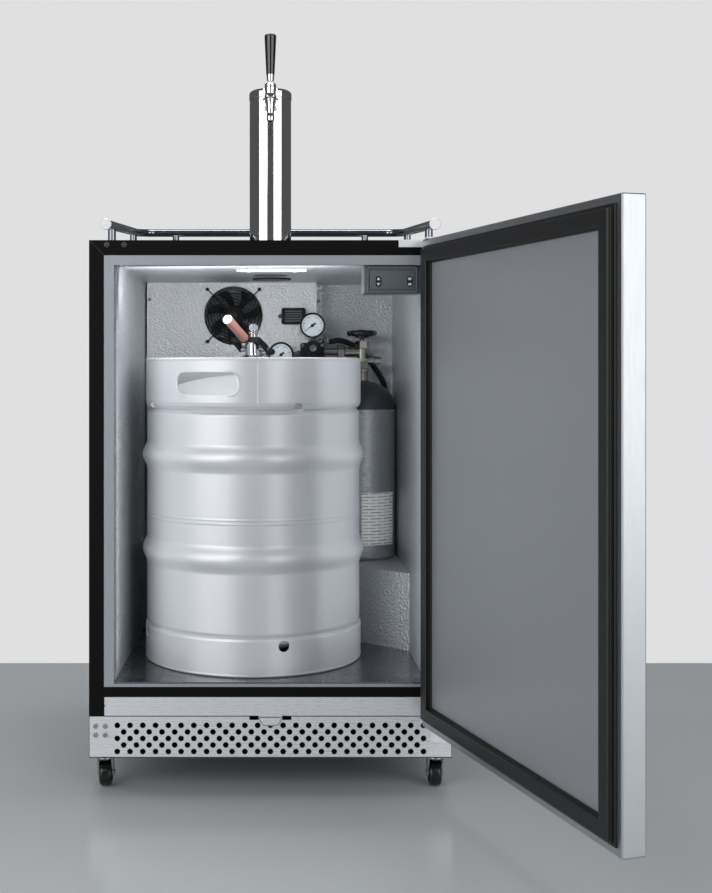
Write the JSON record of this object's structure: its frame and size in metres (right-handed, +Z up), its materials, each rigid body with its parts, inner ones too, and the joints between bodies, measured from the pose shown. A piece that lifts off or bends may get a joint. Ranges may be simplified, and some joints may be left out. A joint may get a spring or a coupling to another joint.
{
  "type": "kegerator",
  "caption": "Freestanding refrigerated beer dispenser: open hinged door, keg with coupler, gas cylinder and regulator inside, guard rail and tap tower on top, swivel casters below.",
  "frame": {"origin": "on the floor under the middle of the cabinet footprint", "axes": "+X to the viewer's right, +Y from the front to the back, +Z up"},
  "size_m": [0.7776, 1.1651, 1.3],
  "materials": {
    "case_paint": "satin charcoal paint",
    "zinc_sheet": "plain zinc-plated sheet",
    "dark_sheet": "dark grey coated sheet",
    "foam": "rigid insulation foam",
    "stucco": "embossed mill finish",
    "black_trim": "satin black",
    "grey_trim": "satin anodised",
    "fins": "thin bright fins",
    "black_plastic": "moulded black",
    "lamp_lens": "translucent white",
    "button_grey": "light grey",
    "stainless": "brushed stainless steel",
    "bright_zinc": "bright zinc",
    "black_steel": "black paint",
    "door_panel": "satin grey",
    "gasket": "soft black vinyl",
    "polished": "polished",
    "handle_black": "gloss black",
    "keg_steel": "satin stainless steel",
    "cast_steel": "dark satin",
    "grip": "brown sleeve",
    "cyl_silver": "silver paint",
    "nickel": "nickel-plated brass",
    "needle": "black",
    "gauge_case": "black case with grey dial",
    "hose": "black ribbed hose",
    "tyre_black": "black wheel"
  },
  "bodies": {
    "cabinet": {"outer_case": "case_paint", "back_panel": "zinc_sheet", "base_pan": "dark_sheet", "insulation_foam": "foam", "inner_liner": "stucco", "front_frame": "black_trim", "opening_trim": "grey_trim", "floor_plate": "dark_sheet", "evaporator_cover": "stucco", "evaporator_coil": "fins", "fan_housing": "black_plastic", "fan_guard": "black_plastic", "sensor_housing": "black_plastic", "ceiling_lamp": "lamp_lens", "control_housing": "black_plastic", "lower_trim": "stainless", "kick_plate": "stainless", "panel_screws": "bright_zinc", "hinge_brackets": "bright_zinc", "cooling_unit": "black_steel", "guard_rail": "polished", "tower_column": "polished", "tower_cap": "polished", "faucet_body": "polished", "drip_tray": "stainless", "drip_grate": "stainless", "keg_shell": "keg_steel", "keg_valve": "bright_zinc", "coupler_body": "polished", "co2_cylinder": "cyl_silver", "co2_valve": "nickel", "regulator_body": "cast_steel", "pressure_gauges": "gauge_case", "gas_hose": "hose"},
    "door": {"door_skin": "stainless", "door_core": "door_panel", "door_gasket": "gasket", "door_handle": "stainless"},
    "tap": {"faucet_lever": "polished", "tap_handle": "handle_black"},
    "fan": {"fan_rotor": "black_plastic"},
    "coupler_lever": {"coupler_handle": "cast_steel", "coupler_grip": "grip"},
    "coupler_plunger": {"coupler_probe": "polished"},
    "gas_wheel": {"co2_handwheel": "handle_black"},
    "adjusting_screw": {"regulator_screw": "polished"},
    "needle_1": {"gauge_needle_1": "needle"},
    "needle_2": {"gauge_needle_2": "needle"},
    "button_1": {"control_button_1": "button_grey"},
    "button_2": {"control_button_2": "button_grey"},
    "button_3": {"control_button_3": "button_grey"},
    "button_4": {"control_button_4": "button_grey"},
    "fork_1": {"caster_fork_1": "polished"},
    "wheel_1": {"caster_wheel_1": "tyre_black"},
    "fork_2": {"caster_fork_2": "polished"},
    "wheel_2": {"caster_wheel_2": "tyre_black"},
    "fork_3": {"caster_fork_3": "polished"},
    "wheel_3": {"caster_wheel_3": "tyre_black"},
    "fork_4": {"caster_fork_4": "polished"},
    "wheel_4": {"caster_wheel_4": "tyre_black"}
  },
  "joints": [
    {"name": "door_hinge", "type": "hinge", "parent": "cabinet", "child": "door", "pos_m": [0.2774, -0.322, 0.5], "axis": [0, 0, 1], "range_deg": [-106.6, 15]},
    {"name": "tap_pivot", "type": "hinge", "parent": "cabinet", "child": "tap", "pos_m": [0, -0.125, 1.209], "axis": [1, 0, 0], "range_deg": [0, 24]},
    {"name": "fan_spin", "type": "hinge", "parent": "cabinet", "child": "fan", "pos_m": [-0.0745, 0.185, 0.8125], "axis": [0, 1, 0], "continuous": true},
    {"name": "coupler_lever_pivot", "type": "hinge", "parent": "cabinet", "child": "coupler_lever", "pos_m": [-0.031, -0.065, 0.742], "axis": [0.8926, -0.4509, 0], "range_deg": [0, 30]},
    {"name": "coupler_plunger_slide", "type": "slide", "parent": "cabinet", "child": "coupler_plunger", "axis": [0, 0, 1], "range_m": [-0.0106, 0]},
    {"name": "gas_wheel_turn", "type": "hinge", "parent": "cabinet", "child": "gas_wheel", "pos_m": [0.184, 0.172, 0.77], "axis": [0, 0, 1], "range_deg": [0, 540]},
    {"name": "adjusting_screw_turn", "type": "hinge", "parent": "cabinet", "child": "adjusting_screw", "pos_m": [0.084, 0.165, 0.745], "axis": [0, 1, 0], "range_deg": [-360, 360]},
    {"name": "needle_1_turn", "type": "hinge", "parent": "cabinet", "child": "needle_1", "pos_m": [0.084, 0.151, 0.7915], "axis": [0, 1, 0], "range_deg": [0, 254]},
    {"name": "needle_2_turn", "type": "hinge", "parent": "cabinet", "child": "needle_2", "pos_m": [0.0212, 0.151, 0.733], "axis": [0, 1, 0], "range_deg": [0, 254]},
    {"name": "button_1_press", "type": "slide", "parent": "cabinet", "child": "button_1", "axis": [0, 1, 0], "range_m": [0, 0.001], "stiffness_N_per_m": 800, "springref_m": -0.0004},
    {"name": "button_2_press", "type": "slide", "parent": "cabinet", "child": "button_2", "axis": [0, 1, 0], "range_m": [0, 0.001], "stiffness_N_per_m": 800, "springref_m": -0.0004},
    {"name": "button_3_press", "type": "slide", "parent": "cabinet", "child": "button_3", "axis": [0, 1, 0], "range_m": [0, 0.001], "stiffness_N_per_m": 800, "springref_m": -0.0004},
    {"name": "button_4_press", "type": "slide", "parent": "cabinet", "child": "button_4", "axis": [0, 1, 0], "range_m": [0, 0.001], "stiffness_N_per_m": 800, "springref_m": -0.0004},
    {"name": "caster_1_swivel", "type": "hinge", "parent": "cabinet", "child": "fork_1", "pos_m": [-0.278, -0.245, 0.05], "axis": [0, 0, 1], "continuous": true},
    {"name": "caster_1_roll", "type": "hinge", "parent": "fork_1", "child": "wheel_1", "pos_m": [-0.278, -0.233, 0.022], "axis": [1, 0, 0], "continuous": true},
    {"name": "caster_2_swivel", "type": "hinge", "parent": "cabinet", "child": "fork_2", "pos_m": [0.278, -0.245, 0.05], "axis": [0, 0, 1], "continuous": true},
    {"name": "caster_2_roll", "type": "hinge", "parent": "fork_2", "child": "wheel_2", "pos_m": [0.278, -0.233, 0.022], "axis": [1, 0, 0], "continuous": true},
    {"name": "caster_3_swivel", "type": "hinge", "parent": "cabinet", "child": "fork_3", "pos_m": [-0.278, 0.245, 0.05], "axis": [0, 0, 1], "continuous": true},
    {"name": "caster_3_roll", "type": "hinge", "parent": "fork_3", "child": "wheel_3", "pos_m": [-0.278, 0.257, 0.022], "axis": [1, 0, 0], "continuous": true},
    {"name": "caster_4_swivel", "type": "hinge", "parent": "cabinet", "child": "fork_4", "pos_m": [0.278, 0.245, 0.05], "axis": [0, 0, 1], "continuous": true},
    {"name": "caster_4_roll", "type": "hinge", "parent": "fork_4", "child": "wheel_4", "pos_m": [0.278, 0.257, 0.022], "axis": [1, 0, 0], "continuous": true}
  ],
  "couplings": [
    {"joint": "coupler_plunger_slide", "follows": "coupler_lever_pivot", "m_per_rad": -0.0191}
  ]
}
